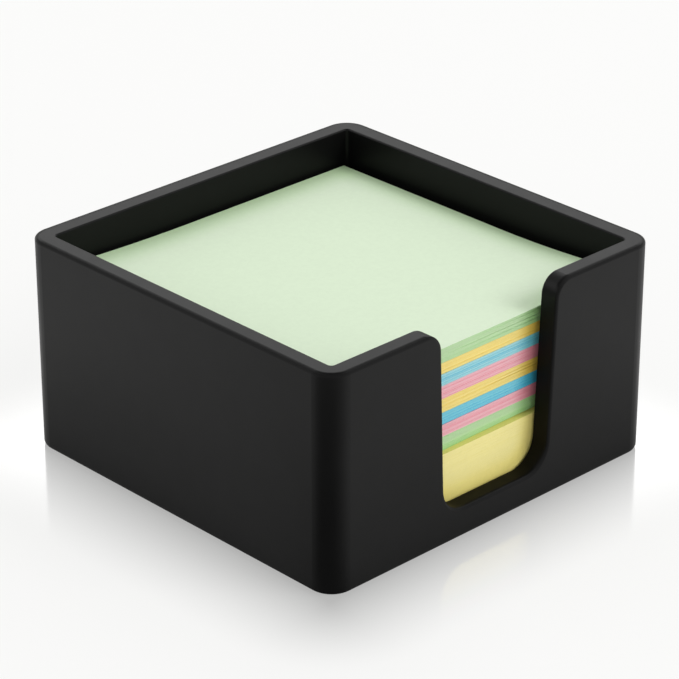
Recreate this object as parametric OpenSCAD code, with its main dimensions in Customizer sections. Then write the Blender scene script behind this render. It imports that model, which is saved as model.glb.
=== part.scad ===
// Desk holder for a stack of square notes, open at the top, with the notes in it.
// A finger notch runs down through the wall that faces -Y.
// The origin is the centre of the base, on the surface that the holder stands on.

/* [Notes] */
// Side of the square notes
note_size = 76; // [60:1:90]
// Space between the notes and each side wall
side_clearance = 1.8; // [1:0.1:4]
// Space between the notes and the front and back walls
end_clearance = 1.3; // [1.3:0.1:4]
// How far the thick pad at the bottom has slid towards the notch
thick_pad_forward = 0.9; // [0:0.1:1.2]
// How far the thin pads on top of it have slid away from the notch
thin_pads_back = 0.3; // [0:0.1:1.2]
// Height of the thick yellow pad at the bottom of the stack
thick_yellow_h = 13.4; // [8:0.1:20]
// Height of the lower green pad
lower_green_h = 3.0; // [1:0.1:6]
// Height of the lower pink pad
lower_pink_h = 2.6; // [1:0.1:6]
// Height of the lower blue pad
lower_blue_h = 2.6; // [1:0.1:6]
// Height of the middle yellow pad
middle_yellow_h = 2.9; // [1:0.1:6]
// Height of the upper pink pad
upper_pink_h = 2.8; // [1:0.1:6]
// Height of the upper blue pad
upper_blue_h = 2.5; // [1:0.1:6]
// Height of the upper yellow pad
upper_yellow_h = 2.4; // [1:0.1:6]
// Height of the green pad at the top of the stack
top_green_h = 3.0; // [1:0.1:6]

/* [Holder] */
// Thickness of the four walls
wall = 4.2; // [2.8:0.1:4.4]
// Thickness of the floor
floor_t = 3.0; // [1.5:0.1:4.5]
// Height of the rim above the top note
rim_above_notes = 7.6; // [2:0.1:20]
// Outside radius of the four upright corners
corner_r = 5.0; // [4.6:0.1:10]
// Rounding of the outside edge of the rim and of the notch
edge_r = 0.6; // [0.3:0.1:1.4]
// Rounding of the inside edge of the rim and of the notch
inner_edge_r = 0.4; // [0.2:0.1:1.2]
// Rounding of the edge round the base
base_edge_r = 1.0; // [0.4:0.1:2]

/* [Finger notch] */
// Width at the rim, between the straight sides drawn up to it
notch_top_w = 31.4; // [28:0.1:44]
// Width at the bottom, between the straight sides drawn down to it
notch_bottom_w = 28.2; // [22:0.1:31]
// Height of the bottom of the notch above the base
notch_bottom_z = 6.2; // [5:0.1:12]
// Radius of the two shoulders, where the rim turns down into the notch
shoulder_r = 4.0; // [2:0.1:8]
// Radius of the two bottom corners of the notch
notch_corner_r = 6.0; // [3:0.1:9]

/* [Hidden] */
$fn = 96;

// Heights of the stack, from the floor up
thick_yellow_z = floor_t;
lower_green_z = thick_yellow_z + thick_yellow_h;
lower_pink_z = lower_green_z + lower_green_h;
lower_blue_z = lower_pink_z + lower_pink_h;
middle_yellow_z = lower_blue_z + lower_blue_h;
upper_pink_z = middle_yellow_z + middle_yellow_h;
upper_blue_z = upper_pink_z + upper_pink_h;
upper_yellow_z = upper_blue_z + upper_blue_h;
top_green_z = upper_yellow_z + upper_yellow_h;
stack_top_z = top_green_z + top_green_h;

// The holder outside, from what it holds
rim_z = stack_top_z + rim_above_notes;
outer_half_x = note_size / 2 + side_clearance + wall;
outer_half_y = note_size / 2 + end_clearance + wall;
// Centre of the round corner at +X +Y
corner_x = outer_half_x - corner_r;
corner_y = outer_half_y - corner_r;
// The floor ends inside the walls, clear of the base rounding
floor_inset = (wall + base_edge_r) / 2;

// The notch in the plane of its wall: x across, y up
top_half = notch_top_w / 2;
bottom_half = notch_bottom_w / 2;
// Lean of each side away from the upright
side_lean = atan((top_half - bottom_half) / (rim_z - notch_bottom_z));
// Distance from a sharp corner of the notch to the centre of its arc, across the notch
arc_shift = (1 - sin(side_lean)) / cos(side_lean);
shoulder = [top_half + shoulder_r * arc_shift, rim_z - shoulder_r];
corner = [bottom_half - notch_corner_r * arc_shift, notch_bottom_z + notch_corner_r];
// Direction from the open notch into the wall, square to the right side
side_out = [cos(side_lean), -sin(side_lean)];
// Ends of the straight part of the right side
side_top = shoulder - shoulder_r * side_out;
side_bottom = corner + notch_corner_r * side_out;
arc_sweep = 90 - side_lean;
// The arcs are this much larger than drawn, so that they cross the straight stretches they join
crossing = 0.01;
// How far an arc of the bottom corners runs on past each of its ends, in degrees
overrun = 10;
// How far the cutting shapes run past the surfaces that they cut
past = 1;
// How many stretches the notch is cut in
notch_stretches = 5;

// What is left of a square edge at the origin when it is rounded to radius r.
// The material lies at +x and -y.
module edge_waste(r) {
    difference() {
        translate([-past, -r])
            square([r + past, r + past]);
        translate([r, -r])
            circle(r);
    }
}

// Section of a wall with its outside face at x = outside
module wall_section(outside) {
    difference() {
        translate([outside - wall, 0])
            square([wall, rim_z]);
        translate([outside - wall, rim_z])
            edge_waste(inner_edge_r);
        translate([outside, rim_z])
            mirror([1, 0])
                edge_waste(edge_r);
        translate([outside, 0])
            mirror([1, 0])
                mirror([0, 1])
                    edge_waste(base_edge_r);
    }
}

// Straight wall along Y with its outside face at x = outside
module straight_wall(outside, half_length) {
    rotate([90, 0, 0])
        linear_extrude(height = 2 * half_length, center = true)
            wall_section(outside);
}

module walls() {
    for (turn = [0, 180]) {
        rotate([0, 0, turn])
            straight_wall(outer_half_x, corner_y);
        rotate([0, 0, turn + 90])
            straight_wall(outer_half_y, corner_x);
    }
    for (x = [0, 1], y = [0, 1])
        mirror([x, 0, 0])
            mirror([0, y, 0])
                translate([corner_x, corner_y, 0])
                    rotate_extrude(angle = 90)
                        wall_section(corner_r);
}

module floor_plate() {
    reach = corner_r - floor_inset;
    linear_extrude(height = floor_t) {
        square([2 * (corner_x + reach), 2 * corner_y], center = true);
        square([2 * corner_x, 2 * (corner_y + reach)], center = true);
        for (x = [-corner_x, corner_x], y = [-corner_y, corner_y])
            translate([x, y])
                circle(reach);
    }
}

// Section across the edge of the notch: everything that is cut away there.
// The open notch is at -x, and the wall at +x, from its outside face at y = 0 down.
module notch_section(depth) {
    translate([-depth, -wall - past])
        square([depth, wall + 2 * past]);
    edge_waste(edge_r);
    translate([0, -wall])
        mirror([0, 1])
            edge_waste(inner_edge_r);
}

// The middle of the notch, a little smaller than the notch itself
module notch_middle() {
    inset = past / 2;
    right = [
        [corner[0], notch_bottom_z + inset],
        side_bottom - inset * side_out,
        [top_half - inset, rim_z + past]
    ];
    left = [for (i = [len(right) - 1:-1:0]) [-right[i][0], right[i][1]]];
    translate([0, 0, -wall - past])
        linear_extrude(height = wall + 2 * past)
            polygon(concat(right, left));
}

module notch_bottom() {
    translate([0, notch_bottom_z])
        rotate([0, 0, -90])
            rotate([90, 0, 0])
                linear_extrude(height = 2 * (corner[0] + crossing), center = true)
                    notch_section(2 * past);
}

module notch_corner() {
    r = notch_corner_r + crossing;
    translate(corner)
        rotate([0, 0, -90 - overrun])
            rotate_extrude(angle = arc_sweep + 2 * overrun)
                translate([r, 0])
                    notch_section(r / 2);
}

module notch_side() {
    top = norm(side_top - side_bottom) + past;
    translate(corner)
        rotate([0, 0, -side_lean])
            translate([notch_corner_r, top])
                rotate([90, 0, 0])
                    linear_extrude(height = top + crossing)
                        notch_section(2 * past);
}

module notch_shoulder() {
    translate(shoulder)
        rotate([0, 0, 90])
            rotate_extrude(angle = arc_sweep)
                translate([shoulder_r + crossing, 0])
                    mirror([1, 0])
                        notch_section(shoulder_r);
}

// Puts what is drawn in the plane of the front wall there
module on_front_wall() {
    translate([0, -outer_half_y, 0])
        rotate([90, 0, 0])
            children();
}

module both_sides() {
    for (side = [0, 1])
        mirror([side, 0, 0])
            children();
}

// The stretches of the notch, numbered in the order in which they are cut
module notch_stretch(number) {
    on_front_wall() {
        if (number == 1)
            notch_bottom();
        if (number == 2)
            both_sides()
                notch_corner();
        if (number == 3)
            both_sides()
                notch_side();
        if (number == 4)
            both_sides()
                notch_shoulder();
        if (number == 5)
            notch_middle();
    }
}

// A pad of square notes resting at height z, slid back from the middle of the holder
module pad(z, h, back = thin_pads_back) {
    translate([-note_size / 2, back - note_size / 2, z])
        cube([note_size, note_size, h]);
}

// The walls and the floor with the first stretches of the notch cut, one after the other
module shell(stretches) {
    if (stretches == 0) {
        walls();
        floor_plate();
    } else {
        difference() {
            shell(stretches - 1);
            notch_stretch(stretches);
        }
    }
}

module holder() {
    color("#2e2e2e")
        shell(notch_stretches);
}

module thick_yellow_pad() {
    color("#eadf92")
        pad(thick_yellow_z, thick_yellow_h, -thick_pad_forward);
}

module lower_green_pad() {
    color("#aadbaa")
        pad(lower_green_z, lower_green_h);
}

module lower_pink_pad() {
    color("#eba0ad")
        pad(lower_pink_z, lower_pink_h);
}

module lower_blue_pad() {
    color("#55b5d4")
        pad(lower_blue_z, lower_blue_h);
}

module middle_yellow_pad() {
    color("#eee088")
        pad(middle_yellow_z, middle_yellow_h);
}

module upper_pink_pad() {
    color("#eaa3b5")
        pad(upper_pink_z, upper_pink_h);
}

module upper_blue_pad() {
    color("#80c4d8")
        pad(upper_blue_z, upper_blue_h);
}

module upper_yellow_pad() {
    color("#efde87")
        pad(upper_yellow_z, upper_yellow_h);
}

module top_green_pad() {
    color("#daead0")
        pad(top_green_z, top_green_h);
}

holder();
thick_yellow_pad();
lower_green_pad();
lower_pink_pad();
lower_blue_pad();
middle_yellow_pad();
upper_pink_pad();
upper_blue_pad();
upper_yellow_pad();
top_green_pad();
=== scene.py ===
"""Looks of the desk holder with coloured notes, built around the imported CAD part."""

import math
import random

import bpy
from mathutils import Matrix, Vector

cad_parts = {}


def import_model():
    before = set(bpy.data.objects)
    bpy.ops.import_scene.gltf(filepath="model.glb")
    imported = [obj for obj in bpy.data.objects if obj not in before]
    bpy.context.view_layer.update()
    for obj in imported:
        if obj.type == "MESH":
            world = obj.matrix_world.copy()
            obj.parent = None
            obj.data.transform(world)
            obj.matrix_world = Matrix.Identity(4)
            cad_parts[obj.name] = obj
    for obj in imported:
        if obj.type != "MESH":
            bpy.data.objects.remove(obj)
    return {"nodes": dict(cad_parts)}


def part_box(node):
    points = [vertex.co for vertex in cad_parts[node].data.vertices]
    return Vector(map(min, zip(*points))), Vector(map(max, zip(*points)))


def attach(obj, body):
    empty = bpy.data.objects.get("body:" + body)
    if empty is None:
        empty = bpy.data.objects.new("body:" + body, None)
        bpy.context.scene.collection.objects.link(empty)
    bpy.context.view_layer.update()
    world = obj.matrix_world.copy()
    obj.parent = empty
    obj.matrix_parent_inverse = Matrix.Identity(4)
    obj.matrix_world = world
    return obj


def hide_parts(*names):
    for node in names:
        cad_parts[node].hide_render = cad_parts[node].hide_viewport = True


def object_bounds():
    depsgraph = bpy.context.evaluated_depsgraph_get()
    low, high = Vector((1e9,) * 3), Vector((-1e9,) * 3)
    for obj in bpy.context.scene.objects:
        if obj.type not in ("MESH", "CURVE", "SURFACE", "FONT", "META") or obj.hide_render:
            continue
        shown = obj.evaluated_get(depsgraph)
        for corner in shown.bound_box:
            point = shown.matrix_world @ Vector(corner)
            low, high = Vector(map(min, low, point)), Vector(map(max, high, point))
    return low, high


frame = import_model()
cad_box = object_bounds()
nodes = frame["nodes"]

MM = 0.001

# Camera, fitted to the outline of the holder in the photograph (679 x 679, no shift)
CAMERA_AT = Vector((-376.0, -392.3, 291.1)) * MM
CAMERA_AZIMUTH = -43.78
CAMERA_ELEVATION = 26.22
LENS = 161.4
SENSOR = 36.0
CLIP_START = 0.01
CLIP_END = 20

# Sheets of paper: thickness, air between two as a share of it, and cells along a side
SHEET = 0.1 * MM
AIR = 0.04
GRID = 8
# The curled sheets on top of the stack have a finer grid
TOP_GRID = 40
TOP_SHEETS = 6
# How far a sheet shifts and turns at random, and how much of the shift of the sheet below it shares.
# The sheets of the thick block shift less.
SHUFFLE = 0.03 * MM
BLOCK_SHUFFLE = 0.006 * MM
TURN = math.radians(0.02)
SHIFT_SHARED = 0.7
# Curl of the top note, from this share of the way out to its corner. Each sheet below curls less.
NOTE_HALF = 38 * MM
CURL_FROM = 0.6
CURL_RIGHT = 1.6 * MM
CURL_LEFT = 1.0 * MM
CURL_PASSED_ON = 0.5

# Noise patterns, with scale in features per metre
CLOUDS = {"scale": 90, "detail": 4}
DULLNESS = {"scale": 250, "detail": 4}
GRAIN = {"scale": 4500, "detail": 2}
PULP = {"scale": 900, "detail": 5, "roughness": 0.6}
FIBRES = {"scale": 5000, "detail": 3}
# Parts of a pattern's values that are spread from one look to the other
CLOUDS_SPAN = 0.35, 0.65
NOISE_SPAN = 0.3, 0.7

# Paper. Painted shade: its colour is painted darker and richer in crevices, which an occlusion test
# finds; how far they are felt, and how open a point is in deep ones.
PAPER_ROUGHNESS = 0.85
PAPER_SPECULAR = 0.25
PULP_DARK = 0.965
EDGE_LINE_DARK = 0.9
EDGE_LINES = 0.4
FIBRE_DEPTH = 0.006 * MM
SHADE_PAINT_REACH = {"face": 9 * MM, "edge": 5 * MM}
SHADE_PAINT_SAMPLES = 8
SHADE_PAINT_DEEP = 0.6
SHADE_PAINT_RICHNESS = 0.9

# Plastic
PLASTIC_DARK = 12, 12, 12
PLASTIC_LIGHT = 14, 14, 14
# Painted shade: the plastic's colour inside the notch
PLASTIC_PAINTED_SHADE_IN_NOTCH = 4, 4, 4
PLASTIC_ROUGHNESS = 0.375, 0.405
DULLER_IN_NOTCH = 0.15
PLASTIC_IOR = 1.2
GRAIN_DEPTH = 0.004 * MM
# Where the plastic counts as inside the notch, where its colour is painted darker as painted shade and
# its roughness raised: distances from the middle and from the front, and height
NOTCH_ACROSS = 19 * MM, 21 * MM
NOTCH_FROM = 0.3 * MM, 1.0 * MM
NOTCH_TO = 4.2 * MM, 5.2 * MM
NOTCH_UP = 36 * MM, 45 * MM
# Rim: radius of the upright corners, how wide a strip of its top falls away towards the outside, how
# steeply, and how far up a face has to look to count as its top
CORNER_R = 5 * MM
RIM_FALL_WIDTH = 1.25 * MM
RIM_FALL = 440.0
RIM_UP = 0.2, 0.8

# Floor: its white, and the share of it that is its own and not lit
FLOOR_HALF = 4.0
FLOOR_COLOUR = 0.93, 0.93, 0.925, 1
FLOOR_ROUGHNESS = 0.6
FLOOR_SPECULAR = 0.1
FLOOR_GLOW_COLOUR = 1, 1, 0.99, 1
FLOOR_WHITE = 0.96
FLOOR_GLOW = 0.83
# Its glow as gloss sees it, painted dimmer round the holder and more so at its foot as a painted
# shadow, and painted dimmer behind it
FLOOR_SHINE = 1.7
FLOOR_PAINTED_SHADOW = 0.4
FLOOR_PAINTED_SHADOW_TO = 50 * MM
FLOOR_PAINTED_FOOT_SHADOW = 0.35
FLOOR_PAINTED_FOOT_SHADOW_TO = 7 * MM
BEHIND_TOWARD = 0.69, 0.72, 0
BEHIND = 0.6
BEHIND_FROM = 25 * MM
BEHIND_TO = 60 * MM
# Dark sector painted into the floor's glow in gloss, which puts a painted dark reflection down the
# front left corner: its point, direction and angles, and where it fades out
BAND_CENTRE = Vector((-39, -38.5, 0)) * MM
BAND_TOWARD = math.radians(209)
BAND_FULL = math.radians(30)
BAND_END = math.radians(86)
BAND_FADE_FROM = 100 * MM
BAND_FADE_TO = 150 * MM
# Faint mirror round the holder
MIRROR = 0.5, 0.5, 0.5, 1
MIRROR_ROUGHNESS = 0.1
MIRROR_SHARE = 0.46
MIRROR_END = 24 * MM
MIRROR_FALL = 1.6

# Room. Heights are the Z of a direction: 0 at the horizon and 1 overhead.
ROOM_COLOUR = 1.0, 1.0, 0.995, 1
ROOM_SIDE = 0.9
ROOM_TOP = 0.3
ROOM_FALL = 0.45, 0.7
# The room in gloss: low, between and overhead, and on the camera's side
SHINE_LOW = 0.5
SHINE_HIGH = 2.9
SHINE_RISE = 0.15, 0.45
SHINE_TOP = 0.15
SHINE_FALL = 0.55, 0.78
SHINE_FRONT = 0.5
SHINE_FRONT_SPAN = 0.3, 0.8

# Softboxes: name, azimuth and elevation in degrees, distance, size in metres and power in watts
SOFTBOXES = (
    ("back_softbox", 136, 50, 2.5, 1.6, 26.5),
    ("side_softbox", 27, 40, 2.5, 1.1, 27.0),
)
AIM = Vector((0, 0, 20)) * MM


def srgb(r, g, b):
    """A colour given as it looks on screen, 0 to 255, as the linear values that Blender takes."""
    def linear(v):
        v = v / 255
        return v / 12.92 if v <= 0.04045 else ((v + 0.055) / 1.055) ** 2.4
    return linear(r), linear(g), linear(b), 1.0


def scaled(colour, factor):
    """The colour with its three values times factor."""
    return tuple(c * factor for c in colour[:3]) + (1.0,)


def toward(azimuth, elevation=0.0):
    """Unit vector towards a viewer at that azimuth and elevation, in degrees."""
    a, e = math.radians(azimuth), math.radians(elevation)
    return Vector((math.sin(a) * math.cos(e), -math.cos(a) * math.cos(e), math.sin(e)))


def new_object(name, verts, faces, mats):
    mesh = bpy.data.meshes.new(name)
    mesh.from_pydata(verts, [], faces)
    for mat in mats:
        mesh.materials.append(mat)
    obj = bpy.data.objects.new(name, mesh)
    bpy.context.scene.collection.objects.link(obj)
    return obj


def new_material(name):
    mat = bpy.data.materials.new(name)
    mat.use_nodes = True
    return mat, mat.node_tree, mat.node_tree.nodes["Principled BSDF"]


# Shader nodes. A value is a socket or a plain number or colour.

def feed(tree, value, socket):
    """Links value to the socket, or sets it there if it is plain."""
    if isinstance(value, bpy.types.NodeSocket):
        tree.links.new(value, socket)
    else:
        socket.default_value = value


def calculate(tree, kind, a, b=0.0):
    """One operation on two numbers, or on a alone."""
    node = tree.nodes.new("ShaderNodeMath")
    node.operation = kind
    feed(tree, a, node.inputs[0])
    feed(tree, b, node.inputs[1])
    return node.outputs[0]


def product(tree, first, *others):
    for other in others:
        first = calculate(tree, "MULTIPLY", first, other)
    return first


def vector_node(tree, kind, a, b=(0, 0, 0)):
    node = tree.nodes.new("ShaderNodeVectorMath")
    node.operation = kind
    tree.links.new(a, node.inputs[0])
    node.inputs[1].default_value = b
    return node.outputs["Value" if kind in ("DOT_PRODUCT", "LENGTH") else "Vector"]


def spread(tree, value, low, high, new_low, new_high):
    """Maps value from low..high to new_low..new_high."""
    node = tree.nodes.new("ShaderNodeMapRange")
    node.inputs["From Min"].default_value = low
    node.inputs["From Max"].default_value = high
    node.inputs["To Min"].default_value = new_low
    node.inputs["To Max"].default_value = new_high
    tree.links.new(value, node.inputs["Value"])
    return node.outputs["Result"]


def mix_numbers(tree, factor, a, b):
    """Number a where factor is 0 and b where it is 1."""
    node = tree.nodes.new("ShaderNodeMix")
    feed(tree, factor, node.inputs[0])
    feed(tree, a, node.inputs[2])
    feed(tree, b, node.inputs[3])
    return node.outputs[0]


def mix(tree, factor, a, b, blend="MIX"):
    """Colour a where factor is 0, and where it is 1 colour b, or the two blended in another way."""
    node = tree.nodes.new("ShaderNodeMix")
    node.data_type = "RGBA"
    node.blend_type = blend
    feed(tree, factor, node.inputs["Factor"])
    colours = [s for s in node.inputs if s.type == "RGBA"]
    feed(tree, a, colours[0])
    feed(tree, b, colours[1])
    return [s for s in node.outputs if s.type == "RGBA"][0]


def mix_shaders(tree, factor, a, b):
    """Shader a where factor is 0 and b where it is 1."""
    node = tree.nodes.new("ShaderNodeMixShader")
    for value, socket in zip((factor, a, b), node.inputs):
        tree.links.new(value, socket)
    return node.outputs[0]


def place(tree, kind="Object"):
    """The point in the row frame, or for the room the direction, as a vector and as X, Y and Z."""
    vector = tree.nodes.new("ShaderNodeTexCoord").outputs[kind]
    return vector, separate(tree, vector)


def separate(tree, vector):
    node = tree.nodes.new("ShaderNodeSeparateXYZ")
    tree.links.new(vector, node.inputs[0])
    return node.outputs


def noise(tree, scale, detail, roughness=0.5):
    """A noise pattern in the row frame, with scale in features per metre."""
    coord = tree.nodes.new("ShaderNodeTexCoord")
    tex = tree.nodes.new("ShaderNodeTexNoise")
    tex.inputs["Scale"].default_value = scale
    tex.inputs["Detail"].default_value = detail
    tex.inputs["Roughness"].default_value = roughness
    tree.links.new(coord.outputs["Object"], tex.inputs["Vector"])
    return tex.outputs["Fac"]


def bump(tree, height, distance, normal=None, strength=1.0):
    """Normals of a surface raised by height times distance."""
    node = tree.nodes.new("ShaderNodeBump")
    feed(tree, strength, node.inputs["Strength"])
    node.inputs["Distance"].default_value = distance
    tree.links.new(height, node.inputs["Height"])
    if normal is not None:
        tree.links.new(normal, node.inputs["Normal"])
    return node.outputs["Normal"]


def beyond(tree, point, half):
    """How far the point is past half in X and in Y, negative inside, and its distance from there."""
    reach = []
    for axis, most in zip("XY", half):
        across = calculate(tree, "ABSOLUTE", point[axis])
        reach.append(calculate(tree, "SUBTRACT", across, most))
    squares = [calculate(tree, "POWER", calculate(tree, "MAXIMUM", value, 0.0), 2.0) for value in reach]
    return reach, calculate(tree, "SQRT", calculate(tree, "ADD", *squares))


# Materials

def soft_rim(tree, point):
    """Normals of the top of the rim, which falls away a little towards its outside edge. depth is how
    far the point lies in from the outside, along the walls and round the corners alike."""
    reach, outer = beyond(tree, point, [most - CORNER_R for most in cad_box[1]])
    inner = calculate(tree, "MINIMUM", calculate(tree, "MAXIMUM", *reach), 0.0)
    depth = calculate(tree, "SUBTRACT", CORNER_R, calculate(tree, "ADD", outer, inner))
    fall = calculate(tree, "MAXIMUM", calculate(tree, "SUBTRACT", RIM_FALL_WIDTH, depth), 0.0)
    height = product(tree, calculate(tree, "POWER", fall, 2.0), -RIM_FALL)
    up = separate(tree, tree.nodes.new("ShaderNodeNewGeometry").outputs["True Normal"])["Z"]
    return bump(tree, height, 1.0, strength=spread(tree, up, *RIM_UP, 0.0, 1.0))


def notch_shade_and_dullness(tree, point):
    """1 inside the notch and 0 elsewhere. It paints the plastic darker there as painted shade and makes
    it duller.
    """
    front = cad_box[0].y
    return product(
        tree,
        spread(tree, calculate(tree, "ABSOLUTE", point["X"]), *NOTCH_ACROSS, 1.0, 0.0),
        spread(tree, point["Y"], *(front + depth for depth in NOTCH_FROM), 0.0, 1.0),
        spread(tree, point["Y"], *(front + depth for depth in NOTCH_TO), 1.0, 0.0),
        spread(tree, point["Z"], *NOTCH_UP, 1.0, 0.0))


def plastic():
    """Fine matt black moulded plastic, duller inside the notch, where its colour is painted blacker as
    painted shade.
    """
    mat, tree, shader = new_material("black_plastic")
    point = place(tree)[1]
    inside = notch_shade_and_dullness(tree, point)
    clouds = spread(tree, noise(tree, **CLOUDS), *CLOUDS_SPAN, 0.0, 1.0)
    tint = mix(tree, clouds, srgb(*PLASTIC_DARK), srgb(*PLASTIC_LIGHT))
    # Painted shade: the colour is darker inside the notch.
    tint = mix(tree, inside, tint, srgb(*PLASTIC_PAINTED_SHADE_IN_NOTCH))
    tree.links.new(tint, shader.inputs["Base Color"])
    matt = spread(tree, noise(tree, **DULLNESS), *NOISE_SPAN, *PLASTIC_ROUGHNESS)
    matt = calculate(tree, "ADD", matt, product(tree, inside, DULLER_IN_NOTCH))
    tree.links.new(matt, shader.inputs["Roughness"])
    shader.inputs["IOR"].default_value = PLASTIC_IOR
    grain = bump(tree, noise(tree, **GRAIN), GRAIN_DEPTH, soft_rim(tree, point))
    tree.links.new(grain, shader.inputs["Normal"])
    return mat


def paper(name, face, edge, lines=EDGE_LINES, shade_richness=SHADE_PAINT_RICHNESS):
    """Uncoated coloured paper, as one material for its face and one for its cut edges. lines is how
    much the edges of the sheets differ, and the last argument how much darker and richer the colour is
    painted in crevices, as painted shade."""
    mats = []
    for part, colour in (("face", face), ("edge", edge)):
        mat, tree, shader = new_material(f"{name}_{part}")
        lighter = srgb(*colour)
        pulp = spread(tree, noise(tree, **PULP), *NOISE_SPAN, 0.0, 1.0)
        tint = mix(tree, pulp, scaled(lighter, PULP_DARK), lighter)
        if part == "edge":
            sheet = tree.nodes.new("ShaderNodeNewGeometry").outputs["Random Per Island"]
            line = spread(tree, sheet, 0.0, 1.0, 0.0, lines)
            tint = mix(tree, line, tint, scaled(lighter, EDGE_LINE_DARK))
        # Painted shade: where an occlusion test finds crevices, the colour is painted darker and
        # richer.
        occlusion = tree.nodes.new("ShaderNodeAmbientOcclusion")
        occlusion.samples = SHADE_PAINT_SAMPLES
        occlusion.inputs["Distance"].default_value = SHADE_PAINT_REACH[part]
        shade = spread(tree, occlusion.outputs["AO"], SHADE_PAINT_DEEP, 1.0, 1.0, 0.0)
        most = max(lighter[:3])
        shade_colour = tuple((c / most) ** shade_richness for c in lighter[:3]) + (1.0,)
        painted_shade = mix(tree, shade, (1.0, 1.0, 1.0, 1.0), shade_colour)
        tint = mix(tree, 1.0, tint, painted_shade, blend="MULTIPLY")
        tree.links.new(tint, shader.inputs["Base Color"])
        shader.inputs["Roughness"].default_value = PAPER_ROUGHNESS
        shader.inputs["Specular IOR Level"].default_value = PAPER_SPECULAR
        fibres = bump(tree, noise(tree, **FIBRES), FIBRE_DEPTH)
        tree.links.new(fibres, shader.inputs["Normal"])
        mats.append(mat)
    return mats


# Paper sheets

class Stack:
    """Collects closed sheets of paper in one mesh."""

    def __init__(self):
        self.verts, self.faces, self.kinds = [], [], []

    def sheet(self, cells, low, high, bottom, top, move, lift):
        """One sheet on a square grid. move(x, y) places a point, lift(x, y) raises it."""
        n = cells + 1
        base = len(self.verts)
        for z in (bottom, top):
            for j in range(n):
                for i in range(n):
                    x = low[0] + (high[0] - low[0]) * i / cells
                    y = low[1] + (high[1] - low[1]) * j / cells
                    self.verts.append((*move(x, y), z + lift(x, y)))
        layer = n * n
        for j in range(cells):
            for i in range(cells):
                a = base + j * n + i
                self.faces.append((a, a + n, a + n + 1, a + 1))
                self.faces.append((a + layer, a + layer + 1, a + layer + n + 1, a + layer + n))
                self.kinds += [0, 0]
        ring = list(range(n))
        ring += [j * n + cells for j in range(1, n)]
        ring += [cells * n + i for i in range(cells - 1, -1, -1)]
        ring += [j * n for j in range(cells - 1, 0, -1)]
        for k, a in enumerate(ring):
            b = ring[(k + 1) % len(ring)]
            self.faces.append((base + a, base + b, base + b + layer, base + a + layer))
            self.kinds.append(1)

    def piece(self, name, node, mats):
        """One piece made of all the sheets, in place of a CAD node."""
        obj = new_object(name, self.verts, self.faces, mats)
        obj.data.polygons.foreach_set("material_index", self.kinds)
        obj.data.update()
        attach(obj, "root")
        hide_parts(node)


def flat(x, y):
    return 0.0


def pad(node, name, mats, seed, lift=flat, splits=(), shuffle=SHUFFLE):
    """Sheets that fill a CAD pad. splits are sheets that lie back: the height, as a share of the pad,
    how far, and the turn in degrees."""
    rng = random.Random(seed)
    low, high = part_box(node)
    count = round((high.z - low.z) / SHEET)
    step = (high.z - low.z) / count
    centre = (low + high) / 2
    stack = Stack()
    dx = dy = 0.0
    for k in range(count):
        dx = SHIFT_SHARED * dx + rng.gauss(0, shuffle)
        dy = SHIFT_SHARED * dy + rng.gauss(0, shuffle)
        turn = rng.gauss(0, TURN)
        back = 0.0
        for share, depth, angle in splits:
            if int(share * count) == k:
                back, turn = depth, math.radians(angle)

        def move(x, y, dx=dx, dy=dy, back=back, turn=turn):
            rx, ry = x - centre.x, y - centre.y
            return x + dx - turn * ry, y + dy + max(0.0, back + turn * rx)

        def rise(x, y, share=CURL_PASSED_ON ** (count - 1 - k)):
            return lift(x, y) * share

        bottom = low.z + k * step
        cells = TOP_GRID if lift is not flat and k >= count - TOP_SHEETS else GRID
        stack.sheet(cells, low, high, bottom, bottom + step * (1 - AIR), move, rise)
    stack.piece(name, node, mats)


def top_curl(x, y):
    """How far the top sheet rises: its left-back and right-front corners curl up."""
    across = (x - y) / (2 * NOTE_HALF)
    rise = 0.0
    for out, height in ((across, CURL_RIGHT), (-across, CURL_LEFT)):
        rise += height * (max(0.0, out - CURL_FROM) / (1 - CURL_FROM)) ** 2
    return rise


# Studio

def painted_dark_band(tree, vector):
    """0 in a soft sector of the floor before the front left corner, 1 elsewhere and farther out. In
    gloss it paints the dark line down that corner, a painted dark reflection."""
    vector = vector_node(tree, "SUBTRACT", vector, BAND_CENTRE)
    c, s = math.cos(BAND_TOWARD), math.sin(BAND_TOWARD)
    along = vector_node(tree, "DOT_PRODUCT", vector, (c, s, 0))
    across = vector_node(tree, "DOT_PRODUCT", vector, (-s, c, 0))
    angle = calculate(tree, "ABSOLUTE", calculate(tree, "ARCTAN2", across, along))
    clear = spread(tree, angle, BAND_FULL, BAND_END, 0.0, 1.0)
    far = spread(tree, vector_node(tree, "LENGTH", vector), BAND_FADE_FROM, BAND_FADE_TO, 0.0, 1.0)
    return calculate(tree, "MAXIMUM", clear, far)


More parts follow.
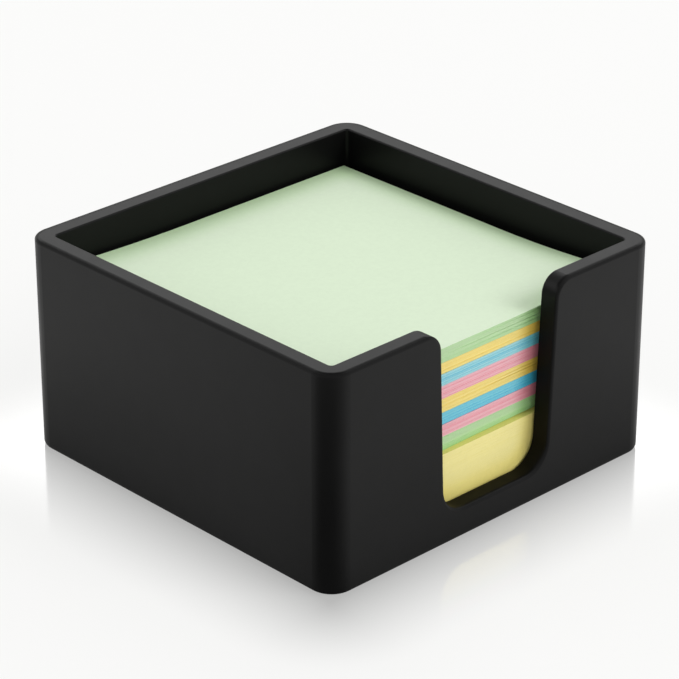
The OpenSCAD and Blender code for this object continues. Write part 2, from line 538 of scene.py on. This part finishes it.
def floor():
    """Pale floor. Part of its white is its own, so that the background stays white, and it is polished
    round the holder, where it mirrors it faintly. In gloss its glow is painted darker round the holder
    and at its foot as a painted shadow, darker behind it, and dark in a sector before the front left
    corner as a painted dark reflection."""
    mat, tree, shader = new_material("floor")
    vector, point = place(tree)
    distance = beyond(tree, point, cad_box[1])[1]
    path = tree.nodes.new("ShaderNodeLightPath").outputs
    shader.inputs["Base Color"].default_value = FLOOR_COLOUR
    shader.inputs["Roughness"].default_value = FLOOR_ROUGHNESS
    shader.inputs["Specular IOR Level"].default_value = FLOOR_SPECULAR

    behind = vector_node(tree, "DOT_PRODUCT", vector, BEHIND_TOWARD)
    # The floor's glow in gloss, darkened by position: painted shadow round the holder and at its foot,
    # painted dimming behind it, and a painted dark reflection sector
    shine = product(
        tree,
        spread(tree, distance, 0.0, FLOOR_PAINTED_SHADOW_TO, FLOOR_PAINTED_SHADOW * FLOOR_SHINE, FLOOR_SHINE),
        painted_dark_band(tree, vector),
        spread(tree, distance, 0.0, FLOOR_PAINTED_FOOT_SHADOW_TO, FLOOR_PAINTED_FOOT_SHADOW, 1.0),
        spread(tree, behind, BEHIND_FROM, BEHIND_TO, 1.0, BEHIND))
    glow = tree.nodes.new("ShaderNodeEmission")
    glow.inputs["Color"].default_value = FLOOR_GLOW_COLOUR
    strength = mix_numbers(tree, path["Is Glossy Ray"], FLOOR_WHITE, shine)
    tree.links.new(strength, glow.inputs["Strength"])
    seen = calculate(tree, "MAXIMUM", path["Is Camera Ray"], path["Is Glossy Ray"])
    seen = calculate(tree, "MAXIMUM", seen, path["Is Transmission Ray"])
    pale = mix_shaders(tree, product(tree, seen, FLOOR_GLOW), shader.outputs[0], glow.outputs[0])

    mirror = tree.nodes.new("ShaderNodeBsdfAnisotropic")
    mirror.inputs["Color"].default_value = MIRROR
    mirror.inputs["Roughness"].default_value = MIRROR_ROUGHNESS
    near = spread(tree, distance, 0.0, MIRROR_END, 1.0, 0.0)
    share = product(tree, calculate(tree, "POWER", near, MIRROR_FALL), MIRROR_SHARE)
    polished = mix_shaders(tree, share, pale, mirror.outputs[0])
    tree.links.new(polished, tree.nodes["Material Output"].inputs["Surface"])
    corners = [(x * FLOOR_HALF, y * FLOOR_HALF, 0) for x, y in ((-1, -1), (1, -1), (1, 1), (-1, 1))]
    obj = new_object("floor", corners, [(0, 1, 2, 3)], [mat])


def world():
    """A pale room, dim overhead. Gloss shows it dim near the horizon and overhead and brightest
    between, and dimmer on the camera's side of the holder."""
    room = bpy.data.worlds.new("studio")
    room.use_nodes = True
    tree = room.node_tree
    vector, direction = place(tree, "Generated")
    facing = vector_node(tree, "DOT_PRODUCT", vector, toward(CAMERA_AZIMUTH))
    light = spread(tree, direction["Z"], *ROOM_FALL, ROOM_SIDE, ROOM_TOP)
    shine = product(
        tree,
        spread(tree, direction["Z"], *SHINE_RISE, SHINE_LOW, SHINE_HIGH),
        spread(tree, direction["Z"], *SHINE_FALL, 1.0, SHINE_TOP),
        spread(tree, facing, *SHINE_FRONT_SPAN, 1.0, SHINE_FRONT))
    path = tree.nodes.new("ShaderNodeLightPath").outputs
    strength = mix_numbers(tree, path["Is Glossy Ray"], light, shine)
    background = tree.nodes["Background"]
    background.inputs["Color"].default_value = ROOM_COLOUR
    tree.links.new(strength, background.inputs["Strength"])
    bpy.context.scene.world = room


def softbox(name, azimuth, elevation, distance, size, power):
    """A square soft light that faces the middle of the holder."""
    data = bpy.data.lights.new(name, "AREA")
    data.shape = "SQUARE"
    data.size = size
    data.energy = power
    obj = bpy.data.objects.new(name, data)
    bpy.context.scene.collection.objects.link(obj)
    back = toward(azimuth, elevation)
    obj.location = back * distance + AIM
    obj.rotation_euler = back.to_track_quat("Z", "Y").to_euler()
    obj.visible_camera = False
    obj.visible_glossy = False


def camera():
    data = bpy.data.cameras.new("camera")
    data.lens = LENS
    data.sensor_width = SENSOR
    data.clip_start = CLIP_START
    data.clip_end = CLIP_END
    obj = bpy.data.objects.new("camera", data)
    obj.location = CAMERA_AT
    obj.rotation_euler = (math.radians(90 - CAMERA_ELEVATION), 0, math.radians(CAMERA_AZIMUTH))
    bpy.context.scene.collection.objects.link(obj)
    bpy.context.scene.camera = obj


camera()
floor()
world()
for box in SOFTBOXES:
    softbox(*box)
bpy.context.scene.view_settings.view_transform = "Standard"

holder = nodes["holder"]
holder.data.materials.clear()
holder.data.materials.append(plastic())

# The green's cut edges are darker and richer in colour than its face, as painted shade between the
# sheets.
green = paper("green_paper", (218, 234, 208), (187, 214, 172))
yellow = paper("yellow_paper", (240, 226, 150), (240, 222, 144))
pale_yellow = paper("pale_yellow_paper", (236, 230, 156), (241, 230, 158), lines=0.05, shade_richness=0.4)
blue = paper("blue_paper", (140, 205, 225), (165, 214, 219), shade_richness=1.1)
deep_blue = paper("deep_blue_paper", (110, 195, 222), (130, 204, 218), shade_richness=1.1)
pink = paper("pink_paper", (240, 180, 192), (234, 186, 194))

pad("thick_yellow_pad", "thick_yellow_sheets", pale_yellow, 11,
    shuffle=BLOCK_SHUFFLE)
pad("lower_green_pad", "lower_green_sheets", green, 12,
    splits=((0.0, 0.2 * MM, 1.0), (0.04, 0.18 * MM, 1.0), (0.07, 0.08 * MM, 0.7)))
pad("lower_pink_pad", "lower_pink_sheets", pink, 13)
pad("lower_blue_pad", "lower_blue_sheets", deep_blue, 14)
pad("middle_yellow_pad", "middle_yellow_sheets", yellow, 15,
    splits=((0.3, -0.05 * MM, 1.3), (0.5, 0.0, 1.3), (0.72, -0.08 * MM, 1.5)))
pad("upper_pink_pad", "upper_pink_sheets", pink, 16)
pad("upper_blue_pad", "upper_blue_sheets", blue, 17)
pad("upper_yellow_pad", "upper_yellow_sheets", yellow, 18)
pad("top_green_pad", "top_green_sheets", green, 19, lift=top_curl,
    splits=((0.25, 0.05 * MM, 0.5), (0.5, 0.08 * MM, 0.8), (0.8, 0.03 * MM, 0.6)))
